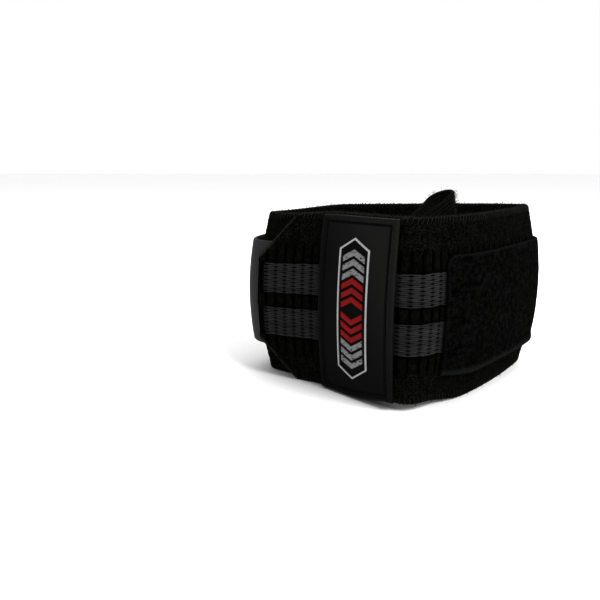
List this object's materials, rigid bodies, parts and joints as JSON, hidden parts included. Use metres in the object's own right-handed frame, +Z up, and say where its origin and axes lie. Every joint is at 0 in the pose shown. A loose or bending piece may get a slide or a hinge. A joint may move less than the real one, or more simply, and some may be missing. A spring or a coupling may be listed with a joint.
{
  "type": "wrist wrap",
  "caption": "Elastic weight-lifting wrist wrap closed into a standing ring by a hook-and-loop tab, with a rubber badge patch and a thumb loop.",
  "frame": {"origin": "middle of the part's bounding box, at the floor the wrap's lower edge stands on", "axes": "+X along the ring's length to the wearer's view right, -Y out of the front with the patch at its left, +Z up across the band's width"},
  "size_m": [0.141, 0.082, 0.0869],
  "materials": {
    "elastic": "matte",
    "patch_rubber": "satin",
    "badge_white": "satin",
    "badge_red": "satin",
    "badge_grey": "satin",
    "loop_fabric": "matte",
    "hook_tape": "matte",
    "thumb_elastic": "matte"
  },
  "bodies": {
    "root": {"elastic_band": "elastic", "rubber_patch": "patch_rubber", "badge_frame": "badge_white", "badge_red_upper_1": "badge_red", "badge_red_upper_2": "badge_red", "badge_red_upper_3": "badge_red", "badge_grey_upper_1": "badge_grey", "badge_grey_upper_2": "badge_grey", "badge_grey_upper_3": "badge_grey", "badge_red_lower_1": "badge_red", "badge_red_lower_2": "badge_red", "badge_red_lower_3": "badge_red", "badge_grey_lower_1": "badge_grey", "badge_grey_lower_2": "badge_grey", "badge_grey_lower_3": "badge_grey", "loop_panel": "loop_fabric", "hook_tab": "hook_tape", "thumb_loop": "thumb_elastic"}
  },
  "joints": []
}
